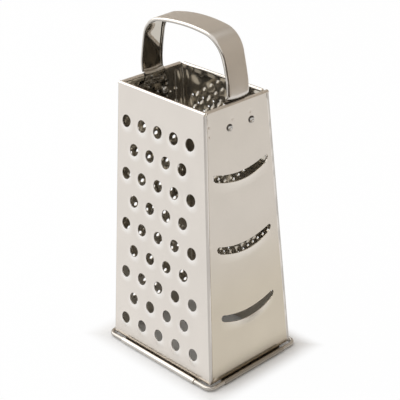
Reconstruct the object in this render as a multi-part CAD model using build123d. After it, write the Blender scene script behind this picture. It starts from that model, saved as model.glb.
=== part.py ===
from build123d import *
from math import acos, atan, cos, floor, pi, radians, sin, tan
import os

# A four-sided box grater of thin stainless sheet. Four stamped panels are lapped and spot-welded at
# the corners, hemmed at the rim and rolled round a wire ring at the base. A bent strip handle is
# riveted inside the two narrow panels. The origin is the centre of the base on the floor, +Z is up,
# the coarse panel faces -Y and the slicing panel faces +X. All lengths are millimetres.

# Box, over the outer faces of its walls
base_width = 96.2
base_depth = 75.5
rim_width = 78.6
rim_depth = 54.8
rim_height = 184.5
sheet = 0.5
corner_radius = 1.2

# Seams, where a flange of each broad panel lies behind the edge of a narrow one
seam_setback = 2.2
seam_gap = 0.15
lap_width = 5.0

# Handle strip
handle_sheet = 0.8
handle_width = 16.5
handle_rise = 43.0
handle_shift = 1.8
handle_fold_depth = 3.0
handle_corner_radius = 15.0
handle_step = 1.1
handle_step_radius = 2.0
leg_rise = 0.3
leg_width = 18.0
leg_clearance = 0.2
leg_slot_clearance = 0.5
leg_lean_low = radians(4.0)
leg_lean_high = radians(14.5)
crown_lean = radians(68.0)
step_facets = 2
leg_facets = 3
corner_facets = 6
crown_facets = 5
foot_length = 22.5
foot_flare = 6.0
foot_edge = 2.7
foot_chamfer = 2.0

# Rivets through the narrow panels and the handle's feet
rivet_spacing = 18.6
rivet_drop = 14.8
rivet_shank_diameter = 3.0
rivet_head_diameter = 5.0
rivet_head_height = 1.5
rivet_tail_height = 0.5
rivet_cup_diameter = 2.6
rivet_cup_depth = 0.35
rivet_sides = 8
rivet_dome_shares = ((1.0, 0.0), (0.8, 0.6), (0.4, 1.0))

# Hem folded inwards along the rim, slotted over each leg, which lies against its outer layer
hem_depth = 4.0
hem_gap = 2.0
hem_notch = 3.2
coarse_hem_notch = 0.8
hem_radius = hem_gap / 2 + sheet
hem_facets = 6

# Wire ring at the base, and the curl of each panel round it
wire_diameter = 2.6
wire_corner_radius = 6.0
wire_sides = 8
wire_corner_facets = 4
roll_wrap = radians(300.0)
roll_facets = 10
roll_notch_broad = 12.0
roll_notch_narrow = 10.0
foot_clearance = 0.2
base_flat = 0.15

# Coarse panel: round holes whose lower edge is pushed out
coarse_hole_diameter = 8.0
coarse_lip_height = 1.4
coarse_ramp = 5.6
coarse_rows = 9
coarse_columns = 5
coarse_sides = 12
coarse_foot_margin = 18.9
coarse_rim_margin = 22.8
coarse_shift = -1.7
coarse_spread_shares = (0.712, 0.728)

# Medium panel
medium_hole_diameter = 3.3
medium_lip_height = 0.8
medium_ramp = 2.4
medium_rows = 19
medium_pitch = 6.4
medium_sides = 4
medium_foot_margin = 17.2
medium_rim_margin = 27.8
medium_side_margin = 7.8

# Fine panel
fine_hole_diameter = 2.2
fine_lip_height = 0.8
fine_ramp = 1.3
fine_rows = 32
fine_pitch = 9.8
fine_sides = 4
fine_foot_margin = 17.9
fine_rim_margin = 20.9
fine_side_margin = 8.5
fine_shift = 1.8

# Slicing panel: curved slots with a blade raised along the lower edge
slot_count = 3
slot_half_width = 23.4
slot_height = 4.8
slot_blade_sag = 4.7
slot_upper_sag = 3.3
slot_foot_margin = 44.3
slot_rim_margin = 44.4
slot_blade_height = 2.0
slot_ramp = 7.0
slot_steps = 6

# Derived sizes
width_tilt = atan((base_width - rim_width) / 2 / rim_height)
depth_tilt = atan((base_depth - rim_depth) / 2 / rim_height)
wire_radius = wire_diameter / 2
curl_radius = wire_radius / cos(roll_wrap / roll_facets / 2)
roll_radius = curl_radius + sheet
wire_height = roll_radius - base_flat
wall_foot = wire_height + wire_radius + foot_clearance
wall_top = rim_height - hem_radius - sheet
handle_top = rim_height + handle_rise
reach = base_width


def half_width(z):
    """Half the box's size along X at a height, over the outer faces."""
    return base_width / 2 - tan(width_tilt) * z


def half_depth(z):
    """Half the box's size along Y at a height, over the outer faces."""
    return base_depth / 2 - tan(depth_tilt) * z


# One frame on the outer face of each wall: x runs across it, y up its slope and z out of the box.
coarse_wall = Plane(
    origin=(0, -base_depth / 2, 0), x_dir=(1, 0, 0), z_dir=(0, -cos(depth_tilt), sin(depth_tilt))
)
fine_wall = Plane(
    origin=(0, base_depth / 2, 0), x_dir=(-1, 0, 0), z_dir=(0, cos(depth_tilt), sin(depth_tilt))
)
slicing_wall = Plane(
    origin=(base_width / 2, 0, 0), x_dir=(0, 1, 0), z_dir=(cos(width_tilt), 0, sin(width_tilt))
)
medium_wall = Plane(
    origin=(-base_width / 2, 0, 0), x_dir=(0, -1, 0), z_dir=(-cos(width_tilt), 0, sin(width_tilt))
)


def up_slope(z, tilt, depth=0):
    """Where a wall's frame meets a height, on a face that lies depth behind the outer one."""
    return (z + depth * sin(tilt)) / cos(tilt)


def tapered_block(inset, low, high):
    """The box at a wall depth of inset, between two heights."""
    corners = []
    for z in (low, high):
        x = half_width(z) - inset / cos(width_tilt)
        y = half_depth(z) - inset / cos(depth_tilt)
        corners += [(x, y, z), (-x, y, z), (-x, -y, z), (x, -y, z)]
    return ConvexPolyhedron(corners)


def rounded(block, radius):
    """The block with its four upright edges rounded."""
    upright = [edge for edge in block.edges() if edge.bounding_box().size.Z > sheet]
    return fillet(upright, radius)


def core(half_size, plane, inset):
    """A tapered prism right through the box: all that lies further than inset from its side edges."""
    low, high = -rim_height, 2 * rim_height
    corners = [
        (half_size(low) - inset, low),
        (half_size(high) - inset, high),
        (inset - half_size(high), high),
        (inset - half_size(low), low),
    ]
    face = plane * make_face(Polyline(*corners, close=True))
    return extrude(face, amount=reach, both=True)


def width_core(inset):
    return core(half_width, Plane.XZ, inset)


def depth_core(inset):
    return core(half_depth, Plane.YZ, inset)


def on_circle(centre, radius, angle):
    """A point of a wall's section: angle 0 faces out of the box and a quarter turn faces up."""
    up, out = centre
    return (0, up + radius * sin(angle), out + radius * cos(angle))


def section_arc(centre, radius, start, end, facets):
    """Points along an arc of a wall's section."""
    turn = (end - start) / facets
    return [on_circle(centre, radius, start + turn * step) for step in range(facets + 1)]


def swept_section(points):
    """A section carried across the wall in both directions."""
    face = make_face(Polyline(*points, close=True))
    return extrude(face, amount=reach, dir=(1, 0, 0), both=True)


def wall_joint(z, tilt):
    """The outer and inner points at which a hem or roll meets the level edge of its wall."""
    return [(0, up_slope(z, tilt), 0), (0, up_slope(z, tilt, sheet), -sheet)]


def hem(tilt):
    """The rim's fold: up over a half circle and down again inside."""
    crest = rim_height / cos(tilt)
    centre = (crest - hem_radius, -hem_radius)
    outer_joint, inner_joint = wall_joint(wall_top, tilt)
    over = section_arc(centre, hem_radius, 0, pi, hem_facets)
    leaf = [(0, crest - hem_depth, -2 * hem_radius), (0, crest - hem_depth, sheet - 2 * hem_radius)]
    under = section_arc(centre, hem_radius - sheet, pi, 0, hem_facets)
    return swept_section([outer_joint] + over + leaf + under + [inner_joint])


def wire_centre(tilt):
    """The wire's centre in a wall's frame, where the curl round it runs straight on from the wall."""
    return ((wire_height - curl_radius * sin(tilt)) / cos(tilt), curl_radius)


def roll(tilt):
    """The foot's curl: down the wall, under the wire, outwards and back over its top."""
    centre = wire_centre(tilt)
    outer_joint, inner_joint = wall_joint(wall_foot, tilt)
    inside = section_arc(centre, curl_radius, pi, pi + roll_wrap, roll_facets)
    outside = section_arc(centre, roll_radius, pi + roll_wrap, pi, roll_facets)
    return swept_section([outer_joint] + inside + outside + [inner_joint])


below_floor = Pos(0, 0, -reach) * Box(4 * reach, 4 * reach, 2 * reach)
wall_shell = rounded(tapered_block(0, wall_foot, wall_top), corner_radius) - rounded(
    tapered_block(sheet, wall_foot, wall_top), corner_radius - sheet
)
lap_top = rim_height - hem_depth - hem_radius
lap_shell = tapered_block(sheet, wall_foot, lap_top) - tapered_block(2 * sheet, wall_foot, lap_top)


def broad_blank(wall, side, notch):
    """A broad panel without its teeth: the wall, both rounded corners, two flanges, hem and roll.

    The hem ends short of the corners by notch.
    """
    half_space = Pos(0, side * reach, 0) * Box(4 * reach, 2 * reach, 8 * reach)
    blank = (wall_shell - depth_core(seam_setback)) & half_space
    flange_band = depth_core(seam_setback - sheet) - depth_core(seam_setback + lap_width)
    blank += (lap_shell & flange_band) & half_space
    blank += wall.location * hem(depth_tilt) & width_core(notch)
    blank += (wall.location * roll(depth_tilt) & width_core(roll_notch_broad)) - below_floor
    return blank


def narrow_blank(wall, side):
    """A narrow panel without its teeth: a flat wall between the seams, with its hem and roll."""
    half_space = Pos(side * reach, 0, 0) * Box(2 * reach, 4 * reach, 8 * reach)
    blank = (wall_shell & depth_core(seam_setback + seam_gap)) & half_space
    blank += wall.location * hem(width_tilt) & depth_core(hem_notch)
    blank += (wall.location * roll(width_tilt) & depth_core(roll_notch_narrow)) - below_floor
    return blank


def tooth(radius, sides, lip_height, ramp):
    """One punched tooth in a wall's frame: the raised metal to add and the hole to cut.

    The hole is a regular polygon. Its lower half is lifted in a straight line from nothing at both
    sides to lip_height at the bottom, and a ramp of the same taper runs from that lip to the wall.
    """
    turn = 2 * pi / sides
    ring = [(radius * cos(turn * k), radius * sin(turn * k)) for k in range(sides)]
    lower = [(cos(turn * k), sin(turn * k)) for k in range(sides // 2, sides + 1)]
    lip = [(radius * x, radius * y, -lip_height * y) for x, y in lower]
    foot = [(radius * x, (radius + ramp) * y, 0) for x, y in lower[1:-1]]
    hole = extrude(make_face(Polyline(*ring, close=True)), amount=lip_height + sheet, both=True)
    return ConvexPolyhedron(lip + foot), hole


def punched(blank, wall, places, teeth, hollow):
    """The blank with a tooth at each place, its underside hollowed to the sheet's thickness."""
    raised, hole = teeth
    spots = [wall.location * Pos(x, y, 0) for x, y in places]
    panel = blank + [spot * raised for spot in spots]
    cuts = [spot * hole for spot in spots]
    if hollow:
        cuts += [spot * Pos(0, 0, -sheet) * raised for spot in spots]
    return panel - cuts


def spaced_rows(count, foot_margin, rim_margin):
    """Row heights above the floor, evenly spaced between two margins."""
    pitch = (rim_height - foot_margin - rim_margin) / (count - 1)
    return [foot_margin + pitch * row for row in range(count)]


def coarse_places():
    """Rows of five and four holes, which fan out as the wall widens towards its foot."""
    rows = spaced_rows(coarse_rows, coarse_foot_margin, coarse_rim_margin)
    foot_share, top_share = coarse_spread_shares
    places = []
    for row, z in enumerate(rows):
        share = foot_share + (top_share - foot_share) * row / (coarse_rows - 1)
        pitch = 2 * half_width(z) * share / (coarse_columns - 1)
        columns = coarse_columns - row % 2
        for column in range(columns):
            x = coarse_shift + pitch * (column - (columns - 1) / 2)
            places.append((x, up_slope(z, depth_tilt)))
    return places


def staggered_places(rows, pitch, half_size, side_margin, shift, tilt):
    """Rows of holes at one pitch, every other row moved half a pitch, as wide as the wall allows.

    All of them are moved by shift from the middle of the wall.
    """
    places = []
    for row, z in enumerate(rows):
        room = half_size(z) - side_margin
        offset = pitch / 2 if row % 2 == 0 else 0
        steps = floor((room - offset) / pitch)
        for step in range(steps + 1):
            x = offset + pitch * step
            across = (shift + x, shift - x) if x > 0 else (shift,)
            places += [(place, up_slope(z, tilt)) for place in across]
    return places


def blade_slot():
    """One slicing slot: the metal raised below it and the hole itself, both as smile curves."""
    steps = [step / slot_steps for step in range(-slot_steps, slot_steps + 1)]
    blade = [
        (slot_half_width * s, slot_blade_sag * s * s, slot_blade_height * (1 - s * s)) for s in steps
    ]
    foot = [
        (slot_half_width * s, slot_blade_sag * s * s - slot_ramp * (1 - s * s), 0)
        for s in steps[1:-1]
    ]
    lower = [(slot_half_width * s, slot_blade_sag * s * s) for s in steps]
    upper = [(slot_half_width * s, slot_height + slot_upper_sag * s * s) for s in reversed(steps)]
    outline = make_face(Polyline(*lower, *upper, close=True))
    hole = extrude(outline, amount=slot_blade_height + sheet, both=True)
    return ConvexPolyhedron(blade + foot), hole


def slot_places():
    """The slots' blade heights, evenly spaced between two margins to their upper edges."""
    rows = spaced_rows(slot_count, slot_foot_margin, slot_rim_margin)
    return [(0, up_slope(z, width_tilt) - slot_height) for z in rows]


def polygon_ring(radius, depth):
    """The corners of a rivet's section, at a height over the wall."""
    turns = [2 * pi * k / rivet_sides for k in range(rivet_sides)]
    return [(radius * cos(turn), radius * sin(turn), depth) for turn in turns]


def rivet():
    """One rivet: a cupped tail outside the wall, a shank, and a domed head inside the foot."""
    grip = sheet + handle_sheet
    shank_radius = rivet_shank_diameter / 2
    head_radius = rivet_head_diameter / 2
    cup_radius = rivet_cup_diameter / 2
    shank = ConvexPolyhedron(polygon_ring(shank_radius, 0) + polygon_ring(shank_radius, -grip))
    dome = []
    for width_share, height_share in rivet_dome_shares:
        dome += polygon_ring(head_radius * width_share, -grip - rivet_head_height * height_share)
    tail = polygon_ring(head_radius, 0)
    tail += polygon_ring((head_radius + cup_radius) / 2, rivet_tail_height)
    cup = polygon_ring(cup_radius, rivet_tail_height)
    cup += polygon_ring(cup_radius / 2, rivet_tail_height - rivet_cup_depth)
    return (shank + ConvexPolyhedron(dome) + ConvexPolyhedron(tail)) - ConvexPolyhedron(cup)


def rivet_spots(wall):
    """Where the two rivets of one narrow panel go."""
    height = up_slope(rim_height - rivet_drop, width_tilt)
    shift = wall.x_dir.Y * handle_shift
    half = rivet_spacing / 2
    return [wall.location * Pos(shift + side * half, height, 0) for side in (-1, 1)]


def rivet_holes():
    """The shanks' holes through both narrow panels and both feet."""
    radius = rivet_shank_diameter / 2
    depth = 2 * (sheet + handle_sheet)
    hole = ConvexPolyhedron(polygon_ring(radius, depth) + polygon_ring(radius, -depth))
    return [spot * hole for wall in (slicing_wall, medium_wall) for spot in rivet_spots(wall)]


def leg_slot():
    """The opening in a narrow panel's fold, behind its outer layer, for the handle's leg."""
    width = leg_width + 2 * leg_slot_clearance
    gap = handle_sheet + leg_clearance
    height = up_slope(rim_height, width_tilt)
    return Pos(0, height, -sheet - gap / 2) * Box(width, 2 * hem_radius, gap)


def leg_slots():
    """One such opening over each leg."""
    slots = []
    for wall in (slicing_wall, medium_wall):
        slots.append(wall.location * Pos(wall.x_dir.Y * handle_shift, 0, 0) * leg_slot())
    return slots


def around(centre, radius, lean):
    """A point of the handle's side view, where lean 0 is an upright leg and a quarter turn is flat."""
    x, z = centre
    return (x + radius * cos(lean), z + radius * sin(lean))


def handle_arcs():
    """The right half of the strip's outer line: (centre, radius, start lean, end lean, facets).

    From the foot's top the line steps out over the rim in two small arcs, leans in along a long
    one, turns the corner, and ends on a crown arc whose centre is on the middle line. The long
    arc's radius is the one that brings the crown to the handle's height.
    """
    top_z = rim_height + leg_rise
    foot_top = (half_width(top_z) - sheet / cos(width_tilt), top_z)
    outer_step = handle_step_radius + handle_sheet
    step_cosine = handle_step_radius * cos(width_tilt) + outer_step * cos(leg_lean_low) - handle_step
    step_lean = -acos(step_cosine / (handle_step_radius + outer_step))
    first_centre = around(foot_top, handle_step_radius, width_tilt)
    between = around(first_centre, -handle_step_radius, step_lean)
    second_centre = around(between, -outer_step, step_lean)
    leg_x, leg_z = around(second_centre, outer_step, leg_lean_low)
    steepness = (1 - sin(crown_lean)) / cos(crown_lean)
    corner_run = handle_corner_radius * (cos(leg_lean_high) - cos(crown_lean))
    corner_rise = handle_corner_radius * (sin(crown_lean) - sin(leg_lean_high))
    leg_cosines = cos(leg_lean_low) - cos(leg_lean_high)
    leg_sines = sin(leg_lean_high) - sin(leg_lean_low)
    missing = handle_top - leg_z - corner_rise - steepness * (leg_x - corner_run)
    leg_radius = missing / (leg_sines - steepness * leg_cosines)
    leg_centre = around((leg_x, leg_z), -leg_radius, leg_lean_low)
    leg_end = around(leg_centre, leg_radius, leg_lean_high)
    corner_centre = around(leg_end, -handle_corner_radius, leg_lean_high)
    corner_end = around(corner_centre, handle_corner_radius, crown_lean)
    crown_radius = corner_end[0] / cos(crown_lean)
    crown_centre = around(corner_end, -crown_radius, crown_lean)
    return [
        (first_centre, -handle_step_radius, width_tilt, step_lean, step_facets),
        (second_centre, outer_step, step_lean, leg_lean_low, step_facets),
        (leg_centre, leg_radius, leg_lean_low, leg_lean_high, leg_facets),
        (corner_centre, handle_corner_radius, leg_lean_high, crown_lean, corner_facets),
        (crown_centre, crown_radius, crown_lean, pi / 2, crown_facets),
    ]


def handle_line(arcs, inset):
    """Points along those arcs, moved in by inset, from the lowest to the middle of the crown."""
    points = [around(arcs[0][0], arcs[0][1] - inset, arcs[0][2])]
    for centre, radius, start, end, facets in arcs:
        turn = (end - start) / facets
        points += [around(centre, radius - inset, start + turn * (k + 1)) for k in range(facets)]
    return points


def between_lines(outer, inner, width):
    """Half of the strip or of a folded edge, from its two lines in the side view."""
    face = Plane.XZ * make_face(Polyline(*outer, *reversed(inner), close=True))
    return extrude(face, amount=width / 2, both=True)


def handle_outline(leg_z):
    """The strip seen from its end: a wide foot inside the wall, and a leg that narrows upwards."""
    foot_half = rivet_spacing / 2 + foot_edge
    bottom = rim_height - foot_length
    right = [
        (foot_half - foot_chamfer, bottom),
        (foot_half, bottom + foot_chamfer),
        (foot_half, rim_height - foot_flare - hem_radius),
        (leg_width / 2, rim_height - hem_radius),
        (handle_width / 2, leg_z),
        (handle_width / 2, 2 * handle_top),
    ]
    left = [(-y, z) for y, z in reversed(right)]
    face = Plane.YZ * make_face(Polyline(*right, *left, close=True))
    return extrude(face, amount=reach, both=True)


def handle():
    """The bent strip with its folded edges and its two riveted feet.

    The folded edges start one facet lower on the strip's back than at their free edge, so that
    they die out towards the rim.
    """
    arcs = handle_arcs()
    bottom = rim_height - foot_length
    foot_x = half_width(bottom)
    outer = [(foot_x - sheet / cos(width_tilt), bottom)] + handle_line(arcs, 0)
    inner_foot = (foot_x - (sheet + handle_sheet) / cos(width_tilt), bottom)
    inner = [inner_foot] + handle_line(arcs, handle_sheet)
    fold_outer = handle_line(arcs[2:], 0)
    fold_inner = handle_line(arcs[2:], handle_fold_depth)[1:]
    half = between_lines(outer, inner, reach) & handle_outline(fold_outer[0][1])
    folded_edge = between_lines(fold_outer, fold_inner, handle_sheet)
    for side in (-1, 1):
        half += Pos(0, side * (handle_width - handle_sheet) / 2, 0) * folded_edge
    whole = Pos(0, handle_shift, 0) * (half + mirror(half, Plane.YZ))
    return whole - rivet_holes()


def base_wire():
    """The wire ring: a rectangle with turned corners that runs through the four curls."""
    up_x, out_x = wire_centre(width_tilt)
    up_y, out_y = wire_centre(depth_tilt)
    half_x = base_width / 2 - up_x * sin(width_tilt) + out_x * cos(width_tilt)
    half_y = base_depth / 2 - up_y * sin(depth_tilt) + out_y * cos(depth_tilt)
    bend_x = half_x - wire_corner_radius
    bend_y = half_y - wire_corner_radius
    path = [(half_x, 0, wire_height)]
    for quarter, (side_x, side_y) in enumerate(((1, 1), (-1, 1), (-1, -1), (1, -1))):
        for step in range(wire_corner_facets + 1):
            turn = pi / 2 * (quarter + step / wire_corner_facets)
            x = side_x * bend_x + wire_corner_radius * cos(turn)
            path.append((x, side_y * bend_y + wire_corner_radius * sin(turn), wire_height))
    start = Plane(origin=path[0], x_dir=(1, 0, 0), z_dir=(0, 1, 0))
    section = start * RegularPolygon(wire_radius, wire_sides)
    return sweep(section, path=Polyline(*path, close=True), transition=Transition.RIGHT)


def build():
    """Every node of the grater, by name."""
    coarse = tooth(coarse_hole_diameter / 2, coarse_sides, coarse_lip_height, coarse_ramp)
    medium = tooth(medium_hole_diameter / 2, medium_sides, medium_lip_height, medium_ramp)
    fine = tooth(fine_hole_diameter / 2, fine_sides, fine_lip_height, fine_ramp)
    medium_rows_z = spaced_rows(medium_rows, medium_foot_margin, medium_rim_margin)
    fine_rows_z = spaced_rows(fine_rows, fine_foot_margin, fine_rim_margin)
    medium_places = staggered_places(
        medium_rows_z, medium_pitch, half_depth, medium_side_margin, 0, width_tilt
    )
    fine_places = staggered_places(
        fine_rows_z, fine_pitch, half_width, fine_side_margin, fine_shift, depth_tilt
    )
    openings = rivet_holes() + leg_slots()
    coarse_blank = broad_blank(coarse_wall, -1, coarse_hem_notch)
    coarse_panel = punched(coarse_blank, coarse_wall, coarse_places(), coarse, True)
    fine_blank = broad_blank(fine_wall, 1, hem_notch)
    fine_panel = punched(fine_blank, fine_wall, fine_places, fine, False)
    medium_blank = narrow_blank(medium_wall, -1) - openings
    medium_panel = punched(medium_blank, medium_wall, medium_places, medium, False)
    slicing_blank = narrow_blank(slicing_wall, 1) - openings
    slicing_panel = punched(slicing_blank, slicing_wall, slot_places(), blade_slot(), True)
    one_rivet = rivet()
    return {
        "coarse_panel": coarse_panel,
        "fine_panel": fine_panel,
        "medium_panel": medium_panel,
        "slicing_panel": slicing_panel,
        "handle": handle(),
        "base_wire": base_wire(),
        "slicing_side_rivets": [spot * one_rivet for spot in rivet_spots(slicing_wall)],
        "medium_side_rivets": [spot * one_rivet for spot in rivet_spots(medium_wall)],
    }


os.makedirs("parts", exist_ok=True)
for name, piece in build().items():
    solids = piece if isinstance(piece, list) else [piece]
    export_step(Compound(children=[s for part in solids for s in part.solids()]), f"parts/{name}.step")
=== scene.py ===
"""The looks of the box grater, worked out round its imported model.

Sizes are in millimetres and become metres where a mesh is made. A sheet is drawn as its outer
face, in patches of points, and a Solidify modifier gives it its thickness.
"""

from collections import namedtuple

import bmesh
import bpy
import numpy as np
from mathutils import Matrix


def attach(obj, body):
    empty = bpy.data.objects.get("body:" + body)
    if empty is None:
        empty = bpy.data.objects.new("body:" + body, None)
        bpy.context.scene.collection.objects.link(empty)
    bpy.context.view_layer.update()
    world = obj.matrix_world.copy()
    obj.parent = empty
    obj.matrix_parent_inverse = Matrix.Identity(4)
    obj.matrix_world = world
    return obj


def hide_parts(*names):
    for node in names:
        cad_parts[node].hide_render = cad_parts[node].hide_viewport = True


MM = 0.001
# In metres: points nearer than this are made one, and shorter edges are taken out
MERGE_DISTANCE, SHORTEST_EDGE = 2e-6, 1e-7
# Measures this near to each other count as the same
NEAR = 0.01

# Box
BASE_WIDTH, BASE_DEPTH = 96.2, 75.5
RIM_WIDTH, RIM_DEPTH, RIM_HEIGHT = 78.6, 54.8, 184.5
SHEET = 0.5
CORNER_RADIUS, CORNER_STEPS = 0.9, 6
WIDTH_TILT = np.arctan((BASE_WIDTH - RIM_WIDTH) / 2 / RIM_HEIGHT)
DEPTH_TILT = np.arctan((BASE_DEPTH - RIM_DEPTH) / 2 / RIM_HEIGHT)

# Seams: a narrow wall stops short of the corner, and a broad wall's flange laps behind it
SEAM_SETBACK, SEAM_GAP = 2.2, 0.35
LAP_WIDTH, LAP_JOGGLE, LAP_STEPS, LAP_CLEARANCE, LAP_LEAST_ROW = 5.0, 0.9, 4, 0.1, 0.1

# Hem, and how far each wall's hem stops short of the box's corners at its start and at its end
HEM_RADIUS, HEM_DEPTH, HEM_STEPS = 1.3, 4.0, 16
COARSE_NOTCHES, FINE_NOTCHES = (0.0, 0.0), (4.2, 3.1)
SLICING_NOTCHES, MEDIUM_NOTCHES = (3.1, 0.3), (3.1, 3.1)
WALL_TOP = RIM_HEIGHT - HEM_RADIUS - SHEET
LAP_TOP = RIM_HEIGHT - HEM_DEPTH - HEM_RADIUS

# The rim isn't level: from a height up it is raised, and more so for each millimetre towards -X
DRIFT_START, DRIFT_RISE, DRIFT_CLIMB = 164.0, 0.7, 0.024

# Wire in the foot, and the floor's depth below the zero height
WIRE_RADIUS, WIRE_CORNER_RADIUS, WIRE_CORNER_STEPS, WIRE_SIDES = 1.3, 4.8, 12, 20
FLOOR_DROP = 0.05

# Curl round the wire: its inner radius, how far the sheet runs out along the table before it
# turns up, how far it wraps round, and how far it stops short of the box's corners
CURL_RADIUS, CURL_OUT = 1.35, 1.1
CURL_WRAP, CURL_STEPS = np.radians(272.0), 24
CURL_NOTCH_BROAD, CURL_NOTCH_NARROW = 12.0, 10.0
WIRE_HEIGHT = CURL_RADIUS + SHEET - FLOOR_DROP
FOOT_GAP = 0.2
WALL_FOOT = WIRE_HEIGHT + WIRE_RADIUS + FOOT_GAP
# The turn at which the curl is lowest, the one where the crevice behind it starts, how far the
# crevice reaches up the wall, and how much painted shade darkens it
LOWEST_TURN, CREVICE_TURN, CREVICE_RISE, CREVICE_SHADE = 1.5 * np.pi, 1.1 * np.pi, 0.15, 1.7


def smooth(x):
    """0 below 0, 1 above 1 and an even S curve between them."""
    x = np.clip(x, 0, 1)
    return x * x * (3 - 2 * x)


def eased(value, span):
    """How far a value is from the span's start to its end, along the S curve."""
    start, end = span
    return smooth((value - start) / (end - start))


def half_width(z):
    """Half the box's width at a height: half its base less the slope times the height."""
    return BASE_WIDTH / 2 - np.tan(WIDTH_TILT) * z


def half_depth(z):
    """Half the box's depth at a height, in the same way."""
    return BASE_DEPTH / 2 - np.tan(DEPTH_TILT) * z


Wall = namedtuple("Wall", "origin across up out tilt half_size inset")


def make_wall(side_x, side_y):
    """A wall's origin, its directions across, up the slope and outwards, and its tilt.

    half_size gives half the box's size across the wall at a height, and inset is how far the
    wall's own edge stops short of that.
    """
    side = np.array((side_x, side_y, 0.0))
    tilt = WIDTH_TILT if side_x else DEPTH_TILT
    half_base = (BASE_WIDTH if side_x else BASE_DEPTH) / 2
    up = np.array((0, 0, np.cos(tilt))) - side * np.sin(tilt)
    out = np.array((0, 0, np.sin(tilt))) + side * np.cos(tilt)
    half_size = half_depth if side_x else half_width
    inset = SEAM_SETBACK + SEAM_GAP if side_x else CORNER_RADIUS
    return Wall(side * half_base, np.cross(up, out), up, out, tilt, half_size, inset)


COARSE_WALL, FINE_WALL = make_wall(0, -1), make_wall(0, 1)
SLICING_WALL, MEDIUM_WALL = make_wall(1, 0), make_wall(-1, 0)


def on_wall(wall, across, up, out):
    """Points of a wall in millimetres: its origin plus each measure times its direction."""
    across, up, out = (part[..., None] for part in np.broadcast_arrays(across, up, out))
    return wall.origin + across * wall.across + up * wall.up + out * wall.out


def half_edge(wall, up):
    """Half the wall's own width at a height along its slope."""
    return wall.half_size(up * np.cos(wall.tilt)) - wall.inset


def rim_drift(points):
    """Points near the rim raised as the hand-made box's rim is.

    They slide up along the walls, so that flat walls stay flat.
    """
    x, y, z = points.T
    raised = z + eased(z, (DRIFT_START, WALL_TOP)) * (DRIFT_RISE - DRIFT_CLIMB * x)
    across, along = half_width(raised) / half_width(z), half_depth(raised) / half_depth(z)
    return np.stack((x * across, y * along, raised), axis=-1)


class Surface:
    """Patches of points and faces that become one mesh, with points that coincide made one."""

    def __init__(self, drift=None):
        self.points, self.lifts, self.bends, self.faces, self.count = [], [], [], [], 0
        self.finishes, self.drift = [], drift

    def add(self, points, faces, lift=0.0, bend=0.0, finish=0):
        """A patch. Its lift and bend, which materials read as painted light and painted shade, are
        one number or one a point.
        """
        points = points.reshape(-1, 3)
        self.points.append(points)
        for values, value in ((self.lifts, lift), (self.bends, bend)):
            values.append(np.broadcast_to(np.asarray(value, float).reshape(-1), (len(points),)))
        self.faces += (faces + self.count).tolist()
        self.finishes += [finish] * len(faces)
        self.count += len(points)

    def grid(self, points, lift=0.0, bend=0.0, keep=None, closed=False, finish=0):
        """A patch of rows and columns. keep says which of its quads are there."""
        rows, columns = points.shape[:2]
        index = np.arange(rows * columns).reshape(rows, columns)
        if closed:
            index = np.hstack((index, index[:, :1]))
        corners = (index[:-1, :-1], index[:-1, 1:], index[1:, 1:], index[1:, :-1])
        faces = np.stack(corners, axis=-1)
        self.add(points, faces.reshape(-1, 4) if keep is None else faces[keep], lift, bend, finish)

    def polygon(self, points):
        """A patch of one face through all the points."""
        self.add(points, np.arange(len(points)).reshape(1, -1))

    def mesh_object(self, name, sheet=None, materials=(), smooth_angle=40.0, even=True):
        """The patches as an object, given a thickness inwards where sheet says so.

        The sheet's inner face has the finish after its outer one's.
        """
        mesh = bpy.data.meshes.new(name)
        points = np.concatenate(self.points)
        if self.drift:
            points = self.drift(points)
        mesh.from_pydata((points * MM).tolist(), [], self.faces)
        mesh.polygons.foreach_set("material_index", self.finishes)
        # lift carries painted highlight and painted shade, and bend carries painted shade
        for painted_attribute, values in (("lift", self.lifts), ("bend", self.bends)):
            attribute = mesh.attributes.new(painted_attribute, "FLOAT", "POINT")
            attribute.data.foreach_set("value", np.concatenate(values).astype(np.float32))
        work = bmesh.new()
        work.from_mesh(mesh)
        bmesh.ops.remove_doubles(work, verts=work.verts, dist=MERGE_DISTANCE)
        bmesh.ops.dissolve_degenerate(work, edges=work.edges, dist=SHORTEST_EDGE)
        work.to_mesh(mesh)
        work.free()
        for material in materials:
            mesh.materials.append(material)
        piece = bpy.data.objects.new(name, mesh)
        bpy.context.scene.collection.objects.link(piece)
        if sheet:
            solid = piece.modifiers.new("thickness", "SOLIDIFY")
            solid.thickness = sheet * MM
            solid.offset = -1
            solid.use_even_offset = even
            solid.material_offset = 1
            state = bpy.context.evaluated_depsgraph_get()
            mesh = bpy.data.meshes.new_from_object(piece.evaluated_get(state), depsgraph=state)
            piece.modifiers.clear()
            piece.data = mesh
        mesh.polygons.foreach_set("use_smooth", np.ones(len(mesh.polygons), bool))
        mesh.set_sharp_from_angle(angle=np.radians(smooth_angle))
        normals = piece.modifiers.new("flat faces", "WEIGHTED_NORMAL")
        normals.keep_sharp = True
        return piece


def set_piece(piece, slot, *nodes):
    """The piece rides on the part's one body and stands for its nodes."""
    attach(piece, "root")
    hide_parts(*nodes)


# Hems and curls: a section carried across the wall
def hem_section(tilt):
    """Heights and depths of the rim's fold: a half circle over the top, then a leaf down inside."""
    crest = RIM_HEIGHT / np.cos(tilt) - HEM_RADIUS
    turn = np.linspace(0, np.pi, HEM_STEPS + 1)
    up = np.concatenate(([WALL_TOP / np.cos(tilt)], crest + HEM_RADIUS * np.sin(turn)))
    out = np.concatenate(([0], HEM_RADIUS * (np.cos(turn) - 1)))
    leaf = (WALL_TOP / np.cos(tilt), crest + HEM_RADIUS - HEM_DEPTH)
    return np.append(up, leaf), np.append(out, (-2 * HEM_RADIUS, -2 * HEM_RADIUS))


def curl_middle(tilt):
    """The height along the slope where the curl's middle is at the wire's height."""
    return (WIRE_HEIGHT - CURL_RADIUS * np.sin(tilt)) / np.cos(tilt)


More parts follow.
